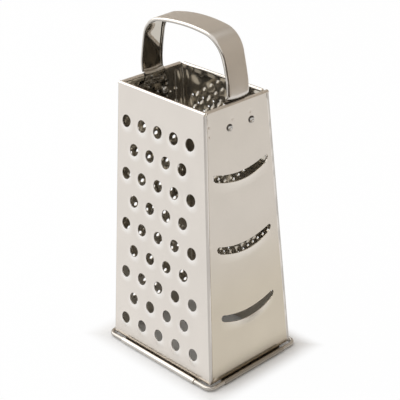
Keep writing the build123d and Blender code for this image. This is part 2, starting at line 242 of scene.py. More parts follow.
def curl_section(tilt):
    """Heights and depths of the foot's curl, from its free end round the wire to the wall.

    It is a part of a circle, of which all but the quarter next to the wall is moved out. The
    third result is 1 where the sheet lies in the crevice behind the curl, which gets painted shade.
    """
    turn = np.pi + np.linspace(CURL_WRAP, 0, CURL_STEPS + 1)
    up = curl_middle(tilt) + CURL_RADIUS * np.sin(turn)
    out = CURL_RADIUS * (1 + np.cos(turn)) + CURL_OUT * (turn > LOWEST_TURN)
    foot = WALL_FOOT / np.cos(tilt)
    crevice = np.append(turn < CREVICE_TURN, (1, 0))
    return np.append(up, (foot - CREVICE_RISE, foot)), np.append(out, (0, 0)), crevice


def add_edges(surface, wall, hem_places, curl_places, leg_start=0.0, leg_stop=0.0):
    """The hem, closed at its ends, and the curl of one wall, with columns at the given places.

    Within the leg's room only the hem's outer half is there, so the handle passes behind it. The
    hem's leaf has the sheet's inner finish, and the curl's outside has the third of its finishes.
    """
    up, out = hem_section(wall.tilt)
    surface.polygon(on_wall(wall, hem_places[-1], up[:-1], out[:-1]))
    surface.polygon(on_wall(wall, hem_places[0], up[-2::-1], out[-2::-1]))
    middle = (hem_places[1:] + hem_places[:-1]) / 2
    open_columns = (middle > leg_start) & (middle < leg_stop)
    for rows, finish in ((slice(0, -2), 0), (slice(-3, None), 1)):
        high, far = up[rows, None], out[rows, None]
        behind = (far[1:] + far[:-1]) / 2 < -HEM_RADIUS
        points = on_wall(wall, hem_places[None, :], high, far)
        surface.grid(points, keep=~(behind & open_columns), finish=finish)
    up, out, crevice = curl_section(wall.tilt)
    points = on_wall(wall, curl_places[None, :], up[:, None], out[:, None])
    first = int(np.argmax(crevice > 0))
    surface.grid(points[: first + 1], finish=1)
    # The crevice behind the curl gets painted shade through the bend attribute
    painted_shade = np.repeat(CREVICE_SHADE * crevice[first:], len(curl_places))
    surface.grid(points[first:], bend=painted_shade)


def edge_places(wall, height, notches, leg=()):
    """Places across a wall's level edge, in order.

    They are the ends of its hem or curl and, between them, the leg's room and the wall's edges.
    """
    start, stop = wall.half_size(height) - np.broadcast_to(notches, 2)
    edge = half_edge(wall, height / np.cos(wall.tilt))
    places = np.array((-edge, *leg, edge))
    return np.sort(np.concatenate(((-start, stop), places[(places > -start) & (places < stop)])))


# Handle's room and rivet holes in the narrow walls
HANDLE_SHIFT, LEG_WIDTH, LEG_ROOM = 1.1, 16.0, 0.8
RIVET_SPACING, RIVET_DROP, RIVET_SHIFT = 18.6, 14.8, 1.8
RIVET_HOLE, HOLE_STEPS = 1.8, 12
RIVET_UP = (RIM_HEIGHT - RIVET_DROP) / np.cos(WIDTH_TILT)


def leg_room(wall):
    """Where a narrow wall's hem is slotted for the handle's leg."""
    middle = wall.across[1] * HANDLE_SHIFT
    return middle - LEG_WIDTH / 2 - LEG_ROOM, middle + LEG_WIDTH / 2 + LEG_ROOM


def rivet_places(wall):
    """Where a narrow wall's two rivets are, across it. Both are at the height RIVET_UP."""
    return wall.across[1] * RIVET_SHIFT + np.array((-0.5, 0.5)) * RIVET_SPACING


# Punched walls: each tooth fills one cell of a brick pattern
def cell_border(steps):
    """Points round a unit square, from the middle of its right side, steps to a side."""
    half = np.arange(steps) / steps - 0.5
    right = np.stack((np.full(steps, 0.5), half), axis=-1)
    top = np.stack((-half, np.full(steps, 0.5)), axis=-1)
    return np.concatenate((right, top, -right, -top))


def tooth_patch(surface, wall, places, cell_points, radii, shares, height):
    """Cells of teeth: circles from the hole outwards, then rings that reach the cell's border.

    shares says how far each ring is from the last circle to the border, and height how far the
    metal stands out, from the offsets across and up from the hole.
    """
    centre = places[:, None, None, :]
    border = cell_points[:, None, :, :] - centre
    angle = np.arctan2(border[..., 1], border[..., 0])
    facing = np.stack((np.cos(angle), np.sin(angle)), axis=-1)
    circles = np.asarray(radii)[None, :, None, None] * facing
    share = np.asarray(shares)[None, :, None, None]
    offset = np.concatenate((circles, circles[:, -1:] + (border - circles[:, -1:]) * share), axis=1)
    lift = height(offset[..., 0], offset[..., 1])
    spot = centre + offset
    points = on_wall(wall, spot[..., 0], spot[..., 1], lift)
    # Each cell's lift, as a share of its highest, paints a highlight on the raised metal
    for cell, cell_highlight in zip(points, lift / lift.max()):
        surface.grid(cell[:, ::-1], cell_highlight[:, ::-1], closed=True)


def flat_patch(surface, wall, path):
    """A plain piece of a wall inside a path of places across and heights."""
    across, up = np.array(path).T
    surface.polygon(on_wall(wall, across, up, 0.0))


def seam_line(across, start, stop, height, steps):
    """A level line from one column number to another, with steps points to a column."""
    columns = np.linspace(start, stop, round(abs(stop - start) * steps) + 1)
    return [(across(column, height), height) for column in columns]


def row_ends(surface, wall, across, ends, seams, steps):
    """The plain strips between the last cells of each row and the wall's edges."""
    for row, end in enumerate(ends):
        low, high = seams[row], seams[row + 1]
        below = max(end, ends[row - 1]) if row else end
        above = max(end, ends[row + 1]) if row + 1 < len(ends) else end
        heights = np.linspace(high, low, steps + 1)[1:-1]
        for side in (1, -1):
            path = seam_line(across, side * end, side * below, low, steps)
            path += [(side * half_edge(wall, up), up) for up in (low, high)]
            path += seam_line(across, side * above, side * end, high, steps)
            path += [(across(side * end, up), up) for up in heights]
            flat_patch(surface, wall, path[::side])


def plain_bands(surface, wall, lines, holes):
    """The plain foot and top of a punched wall.

    lines holds the four level lines from foot to rim, as heights and places between the wall's
    edges. The top is cut along the rivets' height, so each half has half of every rivet hole.
    """
    def level(height, places):
        """The wall's two edges and the places between them, as points at one height."""
        edge = half_edge(wall, height)
        inside = places[np.abs(places) < edge - NEAR]
        return [(place, height) for place in (-edge, *inside, edge)]

    paths = [level(*line) for line in lines]
    if len(holes):
        # The cut goes under each hole for the lower half and over it for the upper one
        turn = np.linspace(0, np.pi, HOLE_STEPS + 1)
        start, stop = level(RIVET_UP, np.array(()))
        cuts = []
        for side in (-1, 1):
            up = RIVET_UP + side * RIVET_HOLE * np.sin(turn)
            arcs = [zip(hole - RIVET_HOLE * np.cos(turn), up) for hole in holes]
            cuts.append([start, *(point for arc in arcs for point in arc), stop])
        paths[3:3] = cuts
    for below, above in zip(paths[::2], paths[1::2]):
        flat_patch(surface, wall, below + above[::-1])


def brick_wall(surface, wall, rows, across, counts, steps, tooth, edges, holes):
    """A punched wall: cells, the plain strips at their row ends, and the plain foot and top.

    rows holds the middle heights of the rows along the slope, across(i, v) the place of a column
    number at a height, and counts how many holes a row has. tooth is (radii, shares, height) and
    edges the places across where the curl and the hem start and end. The result is the heights
    of all its level lines.
    """
    pitch = rows[1] - rows[0]
    border = cell_border(steps)
    for low, count in zip(rows, counts):
        columns = np.arange(count) - (count - 1) / 2
        places = np.stack((across(columns, low), np.full(count, low)), axis=-1)
        up = low + pitch * border[:, 1]
        side = across(columns[:, None] + border[None, :, 0], up[None, :])
        cell = np.stack((side, np.broadcast_to(up, side.shape)), axis=-1)
        tooth_patch(surface, wall, places, np.roll(cell, -steps // 2, axis=1), *tooth)
    seams = np.append(rows - pitch / 2, rows[-1] + pitch / 2)
    ends = np.asarray(counts) / 2
    row_ends(surface, wall, across, ends, seams, steps)
    foot, top = WALL_FOOT / np.cos(wall.tilt), WALL_TOP / np.cos(wall.tilt)
    lines = [(foot, edges[0])]
    for end, height in ((ends[0], seams[0]), (ends[-1], seams[-1])):
        lines.append((height, np.array(seam_line(across, -end, end, height, steps))[:, 0]))
    plain_bands(surface, wall, lines + [(top, edges[1])], holes)
    return np.concatenate(([foot], seams, [top]))


def corner_strips(surface, side_y, levels):
    """The rounded upright corners of a broad wall, with the flange behind the narrow wall's edge.

    The section runs round a quarter circle, on to the seam, steps in behind the narrow wall and
    ends after the lap. Its points are distances in from the two outer faces.
    """
    turn = np.linspace(0, np.pi / 2, CORNER_STEPS + 1)
    along = np.append(CORNER_RADIUS * (1 - np.sin(turn)), 0)
    behind = np.append(CORNER_RADIUS * (1 - np.cos(turn)), SEAM_SETBACK)
    # 1 on the round corner and the seam, where the sheet gets painted shade through the bend
    # attribute
    turned = np.append(0.0, np.ones(CORNER_STEPS + 1))
    depth = SHEET + LAP_CLEARANCE
    joggle = np.linspace(0, 1, LAP_STEPS + 1)
    flange_along = np.append(depth * smooth(joggle), depth)
    flange_behind = np.append(SEAM_SETBACK + LAP_JOGGLE * joggle, SEAM_SETBACK + LAP_WIDTH)
    low_levels = np.append(levels[levels < LAP_TOP - LAP_LEAST_ROW], LAP_TOP)
    for heights, across, back, bend in (
        (levels, along, behind, turned),
        (low_levels, flange_along, flange_behind, np.zeros(len(flange_along))),
    ):
        z = heights[:, None]
        for side_x in (1, -1):
            x = side_x * (half_width(z) - across[None, :])
            y = side_y * (half_depth(z) - back[None, :])
            points = np.stack(np.broadcast_arrays(x, y, z), axis=-1)
            order = slice(None, None, -1 if side_x * side_y > 0 else 1)
            surface.grid(points[:, order], bend=np.tile(bend[order], len(heights)))


def punched_panel(name, wall, heights, pattern, notches, materials):
    """A punched wall with its hem and curl. pattern is as for brick_wall.

    A broad wall is bent round both upright corners. A narrow one has the leg's room in its hem
    and two rivet holes.
    """
    surface = Surface(rim_drift)
    narrow = wall.half_size is half_depth
    leg, holes = (leg_room(wall), rivet_places(wall)) if narrow else ((), ())
    curl_notch = CURL_NOTCH_NARROW if narrow else CURL_NOTCH_BROAD
    edges = edge_places(wall, WALL_FOOT, curl_notch), edge_places(wall, WALL_TOP, notches, leg)
    levels = brick_wall(surface, wall, heights / np.cos(wall.tilt), *pattern, edges, holes)
    if not narrow:
        corner_strips(surface, np.sign(wall.out[1]), levels * np.cos(wall.tilt))
    add_edges(surface, wall, edges[1], edges[0], *leg)
    return surface.mesh_object(name, SHEET, materials)


Layout = namedtuple("Layout", "rows foot_margin rim_margin side_margin pitch shift steps")


def staggered_panel(name, wall, layout, tooth, notches, materials):
    """A punched wall with holes at one pitch, in each row as many as its side margins allow.

    In every other row the middle lies between two holes. All are moved by the layout's shift.
    """
    rows, foot_margin, rim_margin, side_margin, pitch, shift, steps = layout
    heights = np.linspace(foot_margin, RIM_HEIGHT - rim_margin, rows)
    counts = []
    for row, z in enumerate(heights):
        offset = pitch / 2 if row % 2 == 0 else 0
        columns = int((wall.half_size(z) - side_margin - offset) / pitch)
        counts.append(2 * (columns + 1) if offset else 2 * columns + 1)
    pattern = (lambda column, _: shift + pitch * column, counts, steps, tooth)
    return punched_panel(name, wall, heights, pattern, notches, materials)


# Coarse teeth: the first and last rows' heights, and the outer holes' places there as shares of
# half the wall's width
COARSE_ROWS, COARSE_COLUMNS, COARSE_STEPS = 9, 5, 12
COARSE_FOOT_ROW, COARSE_RIM_ROW = 18.9, 161.7
COARSE_FOOT_SHARE, COARSE_RIM_SHARE, COARSE_SHIFT = 0.712, 0.728, -1.7
COARSE_RING_SHARES = (0.02, 0.06, 0.12, 0.2, 0.3, 0.42, 0.56, 0.72, 0.87, 1)
# The lip's height and power, and the slope's reach above the hole, its further reach below the
# hole, and its power
COARSE_RADIUS, COARSE_LIP, COARSE_LIP_POWER = 4.0, 0.95, 2.2
COARSE_REACH, COARSE_REACH_BELOW, COARSE_SLOPE_POWER = 1.0, 3.8, 1.3


def coarse_height(across, up):
    """The hole's rim leans out towards its foot, and the metal slopes back round it.

    The height is a power of a share that runs from 0 above the hole to 1 below it, times a power
    of how near the hole is.
    """
    radius = np.hypot(across, up)
    share = (1 - up / radius) / 2
    reach = COARSE_REACH + COARSE_REACH_BELOW * share
    slope = np.clip(1 - (radius - COARSE_RADIUS) / reach, 0, 1)
    return COARSE_LIP * share ** COARSE_LIP_POWER * slope ** COARSE_SLOPE_POWER


def coarse_across(column, height):
    """Columns that fan out evenly as the wall widens towards its foot."""
    z = height * np.cos(DEPTH_TILT)
    climbed = (z - COARSE_FOOT_ROW) / (COARSE_RIM_ROW - COARSE_FOOT_ROW)
    share = COARSE_FOOT_SHARE + (COARSE_RIM_SHARE - COARSE_FOOT_SHARE) * climbed
    return COARSE_SHIFT + column * half_width(z) * share / (COARSE_COLUMNS // 2)


def coarse_panel(materials):
    """Nine rows of five and four holes."""
    heights = np.linspace(COARSE_FOOT_ROW, COARSE_RIM_ROW, COARSE_ROWS)
    counts = [COARSE_COLUMNS - row % 2 for row in range(COARSE_ROWS)]
    tooth = ((COARSE_RADIUS,), COARSE_RING_SHARES, coarse_height)
    pattern = (coarse_across, counts, COARSE_STEPS, tooth)
    name = "coarse_panel_sheet"
    return punched_panel(name, COARSE_WALL, heights, pattern, COARSE_NOTCHES, materials)


# Fine teeth, and the burr round each hole
FINE_LAYOUT = Layout(
    rows=32, foot_margin=17.9, rim_margin=20.9, side_margin=8.5, pitch=9.8, shift=1.8, steps=4
)
FINE_RADIUS, BURR_RADIUS, BURR_SLOPE = 1.25, 1.55, 0.3
BURR_HEIGHT, BURR_SWING, BURR_POINTS = 0.55, 0.2, 4


def fine_height(across, up):
    """A burr all round the small hole, whose height swings by a cosine with four points."""
    burr = BURR_HEIGHT + BURR_SWING * np.cos(BURR_POINTS * np.arctan2(up, across))
    return np.clip((BURR_RADIUS - np.hypot(across, up)) / BURR_SLOPE, 0, 1) * burr


def fine_panel(materials):
    """Thirty-two rows of small burred holes."""
    tooth = ((FINE_RADIUS, BURR_RADIUS), (1,), fine_height)
    name = "fine_panel_sheet"
    return staggered_panel(name, FINE_WALL, FINE_LAYOUT, tooth, FINE_NOTCHES, materials)


# Medium teeth, and the bump's height, its middle under the hole's and its reaches to the sides,
# up and down
MEDIUM_LAYOUT = Layout(
    rows=19, foot_margin=17.2, rim_margin=27.8, side_margin=7.8, pitch=6.4, shift=0.0, steps=6
)
MEDIUM_RADIUS, MEDIUM_RING_SHARES = 1.45, (0.08, 0.2, 0.4, 0.7, 1)
BUMP_HEIGHT, BUMP_DROP, BUMP_WIDE, BUMP_HIGH, BUMP_LOW = 0.8, 1.5, 1.7, 1.6, 2.1


def medium_height(across, up):
    """A bump under the hole: its height less the square of the distance, in shares of its reach."""
    reach = np.where(up > -BUMP_DROP, BUMP_HIGH, BUMP_LOW)
    distance = (across / BUMP_WIDE) ** 2 + ((up + BUMP_DROP) / reach) ** 2
    return BUMP_HEIGHT * np.clip(1 - distance, 0, 1)


def medium_panel(materials):
    """Nineteen rows of 3 mm holes."""
    tooth = ((MEDIUM_RADIUS,), MEDIUM_RING_SHARES, medium_height)
    name = "medium_panel_sheet"
    return staggered_panel(name, MEDIUM_WALL, MEDIUM_LAYOUT, tooth, MEDIUM_NOTCHES, materials)


# Slicing wall: one grid whose rows bend along the three slots. A sag is how far a curve's ends
# are above its middle, SLOT_ROUND the length over which a slot's end closes, and SLOT_CLOSING how
# far along that length it does so.
SLOT_HALF, SLOT_HEIGHT, BLADE_SAG, UPPER_SAG = 23.9, 4.9, 4.8, 4.7
SLOT_ROUND, SLOT_CLOSING = 2.4, 0.98
SLOT_COUNT, SLOT_LOWEST_TOP, SLOT_RIM_MARGIN = 3, 43.8, 44.9
BLADE_HEIGHT, BLADE_RAMP, BLADE_POWER, RAMP_POWER = 2.0, 7.0, 1.1, 1.4
# Points along a slot, steps from its end to the wall's edge, and rows of each band between curves
SLOT_POINTS, SIDE_STEPS, BAND_ROWS = 79, 16, (46, 4, 50, 4, 50, 4, 46)
# Spot welds along the near seam and two small pits over the rivets: place, height, depth, radius
DENTS = (
    (-24.4, 175.4, 0.35, 0.9), (-24.4, 169.5, 0.35, 0.9), (-29.0, 98.7, 0.3, 0.9),
    (-33.5, 5.8, 0.3, 0.9), (-5.0, 175.3, 0.3, 0.8), (10.4, 175.7, 0.35, 0.8),
)


def slot_curves(nominal):
    """The blade line and the upper line of each slot, from the lowest up.

    Both are parabolas. Over a slot's last SLOT_ROUND they draw together along a quarter ellipse,
    so that its ends are round.
    """
    bend = np.clip(nominal / SLOT_HALF, -1, 1) ** 2
    near_end = np.clip((np.abs(nominal) - SLOT_HALF + SLOT_ROUND) / SLOT_ROUND, 0, SLOT_CLOSING)
    pinch = (SLOT_HEIGHT + (UPPER_SAG - BLADE_SAG) * bend) / 2 * (1 - np.sqrt(1 - near_end ** 2))
    tops = np.linspace(SLOT_LOWEST_TOP, RIM_HEIGHT - SLOT_RIM_MARGIN, SLOT_COUNT)
    return [
        (blade + BLADE_SAG * bend + pinch, blade + SLOT_HEIGHT + UPPER_SAG * bend - pinch)
        for blade in tops / np.cos(WIDTH_TILT) - SLOT_HEIGHT
    ]


def slicing_grid(nominal, curves):
    """Places across the wall and heights along its slope, for rows and columns of points.

    Rows run from one slot's upper curve to the next one's lower curve, in even shares. Columns are
    upright between the slots' ends and fan out from there to the wall's slanted edges.
    """
    foot, top = (np.full_like(nominal, z / np.cos(WIDTH_TILT)) for z in (WALL_FOOT, WALL_TOP))
    lines = [foot, *(line for curve in curves for line in curve), top]
    rows = [foot[None, :]]
    for low, high, count in zip(lines[:-1], lines[1:], BAND_ROWS):
        share = np.linspace(0, 1, count + 1)[1:, None]
        rows.append(low + (high - low) * share)
    up = np.concatenate(rows)
    room = np.abs(nominal) - SLOT_HALF
    spread = np.sign(nominal) * (SLOT_HALF + (half_edge(SLICING_WALL, up) - SLOT_HALF) * room)
    return np.where(room > 0, spread, nominal), up


def slicing_panel(materials):
    """A flat wall with three smile-shaped slots, each with its lower edge raised as a blade.

    A blade's height falls off to its ends and down its ramp, and each dent is a round bell.
    """
    inner = np.linspace(-1, 1, SLOT_POINTS) * SLOT_HALF
    beyond = np.linspace(0, 1, SIDE_STEPS + 1)[1:]
    nominal = np.concatenate((-SLOT_HALF - beyond[::-1], inner, SLOT_HALF + beyond))
    curves = slot_curves(nominal)
    across, up = slicing_grid(nominal, curves)
    out = np.zeros_like(up)
    fade = np.clip(1 - np.clip(nominal / SLOT_HALF, -1, 1) ** 2, 0, 1) ** BLADE_POWER
    for blade, _ in curves:
        ramp = np.clip(1 - (blade - up) / BLADE_RAMP, 0, 1) ** RAMP_POWER
        out += np.where(up < blade + NEAR, BLADE_HEIGHT * fade * ramp, 0)
    # The blade's share of its height paints a highlight on the raised metal
    lift = out / BLADE_HEIGHT
    for place, height, depth, radius in DENTS:
        far = np.hypot(across - place, up - height / np.cos(WIDTH_TILT)) / radius
        out -= depth * np.exp(-far * far)

    in_slot_rows = np.repeat(np.arange(len(BAND_ROWS)), BAND_ROWS) % 2 == 1
    in_slot_columns = np.abs((nominal[1:] + nominal[:-1]) / 2) < SLOT_HALF
    keep = ~(in_slot_rows[:, None] & in_slot_columns[None, :])
    middle_across, middle_up = ((a[1:, 1:] + a[:-1, :-1]) / 2 for a in (across, up))
    for place in rivet_places(SLICING_WALL):
        keep &= np.hypot(middle_across - place, middle_up - RIVET_UP) > RIVET_HOLE
    surface = Surface(rim_drift)
    surface.grid(on_wall(SLICING_WALL, across, up, out), lift, keep=keep)

    start, stop = half_depth(WALL_TOP) - np.array(SLICING_NOTCHES)
    hem_places = np.append(across[-1][across[-1] > -start], stop)
    curl_places = across[0][np.abs(across[0]) < half_depth(WALL_FOOT) - CURL_NOTCH_NARROW]
    add_edges(surface, SLICING_WALL, hem_places, curl_places, *leg_room(SLICING_WALL))
    return surface.mesh_object("slicing_panel_sheet", SHEET, materials)


# Handle: a strip whose edges fold in along a line of arcs
HANDLE_SHEET, HANDLE_WIDTH, HANDLE_TOP, HANDLE_CORNER_RADIUS = 0.8, 17.3, 228.3, 17.7
HANDLE_SKEW, HANDLE_TWIST, LEG_SMILE, CROWN_SPREAD = 1.1, 0.35, 0.95, 1.5
FOLD_DEPTH, FOLD_RADIUS, LEAST_ANGLE, EDGE_SHADE = 2.1, 1.3, 1e-4, 1.4
STEP_OUT, STEP_RADIUS, LEG_RISE, LEG_JOG = 3.07, 1.0, 0.3, 1.8
LEAN_LOW, LEAN_HIGH, LEAN_CROWN = np.radians((7.4, 12.6, 78.75))
FOOT_LENGTH, FOOT_FLARE, FOOT_WIDTH, FOOT_CHAMFER = 22.5, 6.0, 24.0, 2.0
# Heights over the rim from where a change of the strip starts to where it is complete
JOG_SPAN, FOLD_SPAN, SKEW_SPAN, TWIST_SPAN = (-8.0, -2.0), (0.8, 2.8), (0.0, 12.0), (15.0, 40.0)
BOW_SPAN, UNBOW_SPAN, STEP_SHADE_SPAN = (LEG_RISE, LEG_RISE + 1.0), (4.0, 13.0), (2.2, 3.5)
# Heights over the table and places along X over which the crown gets wider
SPREAD_HEIGHTS, SPREAD_PLACES = (205.0, 225.0), (-30.0, 0.0)
# Points of the foot's line, steps of each arc, and steps across half the web, the fold and the edge
FOOT_POINTS, LINE_ARC_STEPS = 40, (5, 6, 24, 20, 24)
WEB_STEPS, FOLD_STEPS, EDGE_STEPS = 7, 8, 3


def around(centre, radius, lean):
    """The point, or a column for each lean, at a radius from the centre."""
    return np.array((centre[0] + radius * np.cos(lean), centre[1] + radius * np.sin(lean)))


def handle_arcs():
    """The right half of the strip's outer line as (centre, radius, start lean, end lean).

    It steps out over the rim in two small arcs, leans in along a long one, turns the corner and
    ends on a crown arc whose centre is on the middle line.
    """
    top_z = RIM_HEIGHT + LEG_RISE
    foot_top = (half_width(top_z) - SHEET / np.cos(WIDTH_TILT) - LEG_JOG, top_z)
    outer_step = STEP_RADIUS + HANDLE_SHEET
    cosine = STEP_RADIUS * np.cos(WIDTH_TILT) + outer_step * np.cos(LEAN_LOW) - STEP_OUT
    step_lean = -np.arccos(cosine / (STEP_RADIUS + outer_step))
    first = around(foot_top, STEP_RADIUS, WIDTH_TILT)
    second = around(around(first, -STEP_RADIUS, step_lean), -outer_step, step_lean)
    leg = around(second, outer_step, LEAN_LOW)
    steepness = (1 - np.sin(LEAN_CROWN)) / np.cos(LEAN_CROWN)
    run = HANDLE_CORNER_RADIUS * (np.cos(LEAN_HIGH) - np.cos(LEAN_CROWN))
    rise = HANDLE_CORNER_RADIUS * (np.sin(LEAN_CROWN) - np.sin(LEAN_HIGH))
    missing = HANDLE_TOP - leg[1] - rise - steepness * (leg[0] - run)
    cosines = np.cos(LEAN_LOW) - np.cos(LEAN_HIGH)
    radius = missing / (np.sin(LEAN_HIGH) - np.sin(LEAN_LOW) - steepness * cosines)
    centre = around(leg, -radius, LEAN_LOW)
    corner = around(around(centre, radius, LEAN_HIGH), -HANDLE_CORNER_RADIUS, LEAN_HIGH)
    crown_start = around(corner, HANDLE_CORNER_RADIUS, LEAN_CROWN)
    crown_radius = crown_start[0] / np.cos(LEAN_CROWN)
    crown = around(crown_start, -crown_radius, LEAN_CROWN)
    return (
        (first, -STEP_RADIUS, WIDTH_TILT, step_lean),
        (second, outer_step, step_lean, LEAN_LOW),
        (centre, radius, LEAN_LOW, LEAN_HIGH),
        (corner, HANDLE_CORNER_RADIUS, LEAN_HIGH, LEAN_CROWN),
        (crown, crown_radius, LEAN_CROWN, np.pi / 2),
    )


def handle_line():
    """The whole outer line and its leans, from the right foot's bottom to the left one's.

    Each foot lies against its wall and jogs inwards as it passes through the hem.
    """
    z = np.linspace(RIM_HEIGHT - FOOT_LENGTH, RIM_HEIGHT + LEG_RISE, FOOT_POINTS)
    jog = LEG_JOG * eased(z - RIM_HEIGHT, JOG_SPAN)
    line = [np.stack((half_width(z) - SHEET / np.cos(WIDTH_TILT) - jog, z), axis=-1)]
    leans = [np.full(len(z), WIDTH_TILT)]
    for (centre, radius, start, end), steps in zip(handle_arcs(), LINE_ARC_STEPS):
        lean = np.linspace(start, end, steps + 1)[1:]
        line.append(around(centre, radius, lean).T)
        leans.append(lean)
    line, leans = np.concatenate(line), np.concatenate(leans)
    left = line[-2::-1] * (-1, 1)
    return np.concatenate((line, left)), np.concatenate((leans, np.pi - leans[-2::-1]))


def strip_section(z, folded, spread):
    """The strip's offsets to the side and inwards, a row for each height.

    It is a flat web, an arc and a straight edge to each side. The arc keeps its length while the
    fold opens, so its curvature is the fold's angle over that length. The web narrows from the
    foot to the leg, and folded says how far the fold is closed.
    """
    arc = FOLD_RADIUS * np.pi / 2
    angle = np.pi / 2 * folded
    edge = (FOLD_DEPTH - FOLD_RADIUS) * folded
    flare = smooth((RIM_HEIGHT - HEM_RADIUS - z) / FOOT_FLARE)
    flat_half = LEG_WIDTH / 2 + (FOOT_WIDTH - LEG_WIDTH) / 2 * flare
    chamfer = np.clip(FOOT_CHAMFER - (z - RIM_HEIGHT + FOOT_LENGTH), 0, FOOT_CHAMFER)
    web = (flat_half - arc - chamfer) * (1 - folded)
    web += (HANDLE_WIDTH / 2 - FOLD_RADIUS) * folded + spread
    curvature = (np.maximum(angle, LEAST_ANGLE) / arc)[:, None]
    turned = curvature * arc * np.linspace(0, 1, FOLD_STEPS + 1)[None, :]
    arc_side = web[:, None] + np.sin(turned) / curvature
    arc_depth = (1 - np.cos(turned)) / curvature
    tip = edge[:, None] * np.linspace(0, 1, EDGE_STEPS + 1)[None, 1:]
    tip_side = arc_side[:, -1:] + tip * np.cos(angle)[:, None]
    tip_depth = arc_depth[:, -1:] + tip * np.sin(angle)[:, None]
    middle = np.linspace(0, 1, WEB_STEPS + 1)[None, :-1] * web[:, None]
    side = np.hstack((middle, arc_side, tip_side))
    depth = np.hstack((np.zeros_like(middle), arc_depth, tip_depth))
    return np.hstack((-side[:, :0:-1], side)), np.hstack((depth[:, :0:-1], depth))


def handle_strip(materials):
    """The strip's section carried along its outer line.

    The fold closes above the rim, and on the step the edges fold the way they do on the leg. The
    leg's lower lip is bowed, with its ends LEG_SMILE above its middle, and the crown is a little
    twisted and CROWN_SPREAD wider, towards -Y. Its folded edges, the step over the rim and the foot
    below it get painted shade.
    """
    line, lean = handle_line()
    inward = np.clip(lean, LEAN_LOW, np.pi - LEAN_LOW)[:, None]
    z = line[:, 1]
    rise = z - RIM_HEIGHT
    folded = eased(rise, FOLD_SPAN)
    spread = CROWN_SPREAD / 2 * eased(z, SPREAD_HEIGHTS) * eased(line[:, 0], SPREAD_PLACES)
    side, depth = strip_section(z, folded, spread)
    x = line[:, :1] - np.cos(inward) * depth
    height = line[:, 1:] - np.sin(inward) * depth
    skew = HANDLE_SKEW * eased(height - RIM_HEIGHT, SKEW_SPAN) * x / half_width(RIM_HEIGHT)
    share = 2 * side / HANDLE_WIDTH
    rise = rise[:, None]
    bow = eased(rise, BOW_SPAN) * (1 - eased(rise, UNBOW_SPAN))
    height += LEG_SMILE * bow * share ** 2 - HANDLE_TWIST * share * eased(rise, TWIST_SPAN)
    y = HANDLE_SHIFT - spread[:, None] - side + skew
    on_edge = depth > FOLD_RADIUS + NEAR
    # Painted shade: full on the foot and the step, fading above it, and more on the folded edges
    painted_shade = 1 - eased(rise, STEP_SHADE_SPAN) + EDGE_SHADE * folded[:, None] * on_edge
    surface = Surface()
    surface.grid(np.stack((x, y, height), axis=-1)[:, ::-1], bend=painted_shade[:, ::-1])
    return surface.mesh_object(
        "handle_strip", HANDLE_SHEET, materials, smooth_angle=60.0, even=False
    )


# Rivets: a domed head inside, a shank through both sheets and a rolled tail outside. The tail's
# edge is a bead, and its cup's profile is given as radii and heights over the wall.
DOME_RADIUS, DOME_RISE, SHANK_RADIUS, ARC_STEPS, RIVET_SIDES = 2.5, 1.5, 1.5, 8, 24
TAIL_OUTSIDE, BEAD_MIDDLE, BEAD_RADIUS, BEAD_RISE = 2.4, 2.05, 0.35, 0.2
CUP_RADII, CUP_OUTS = (1.35, 1.15, 0.85, 0.5, 0.0), (-0.1, -0.3, -0.4, -0.45, -0.45)
# How much painted shade the tail takes, how much the last points of its cup take, and the side
# where the painted shade is darkest
TAIL_SHADE, CUP_SHADES = 1.0, (0.6, 0.2, 0.0)
SHADE_MEAN, SHADE_SWING, SHADE_SIDE = 0.55, 0.9, np.radians(125.0)


def rivets(name, wall, materials):
    """Two hollow rivets: a profile turned round the wall's outward direction at each place."""
    surface = Surface()
    grip = SHEET + HANDLE_SHEET
    dome = np.linspace(0, np.pi / 2, ARC_STEPS + 1)[::-1]
    bead = np.linspace(0, np.pi, ARC_STEPS + 1)
    radii = np.concatenate((
        DOME_RADIUS * np.cos(dome), (SHANK_RADIUS, SHANK_RADIUS, TAIL_OUTSIDE),
        BEAD_MIDDLE + BEAD_RADIUS * np.cos(bead), CUP_RADII,
    ))[:, None]
    outs = np.concatenate((
        -grip - DOME_RISE * np.sin(dome), (-grip, 0.0, 0.0),
        BEAD_RISE + BEAD_RADIUS * np.sin(bead), CUP_OUTS,
    ))[:, None]
    radii[0] = 0.0
    shade = np.zeros_like(radii)
    shade[-len(bead) - len(CUP_RADII):] = TAIL_SHADE
    shade[-len(CUP_SHADES):, 0] = CUP_SHADES
    turn = np.linspace(0, 2 * np.pi, RIVET_SIDES, endpoint=False)[None, :]
    # Painted shade on the tail and the cup, darkest on one side as a crescent
    lift = shade * smooth(SHADE_MEAN + SHADE_SWING * np.cos(turn - SHADE_SIDE))
    for place in rivet_places(wall):
        points = on_wall(
            wall, place + radii * np.cos(turn), RIVET_UP + radii * np.sin(turn), outs
        )
        surface.grid(points, lift, closed=True)
    return surface.mesh_object(name, None, materials, smooth_angle=50.0)


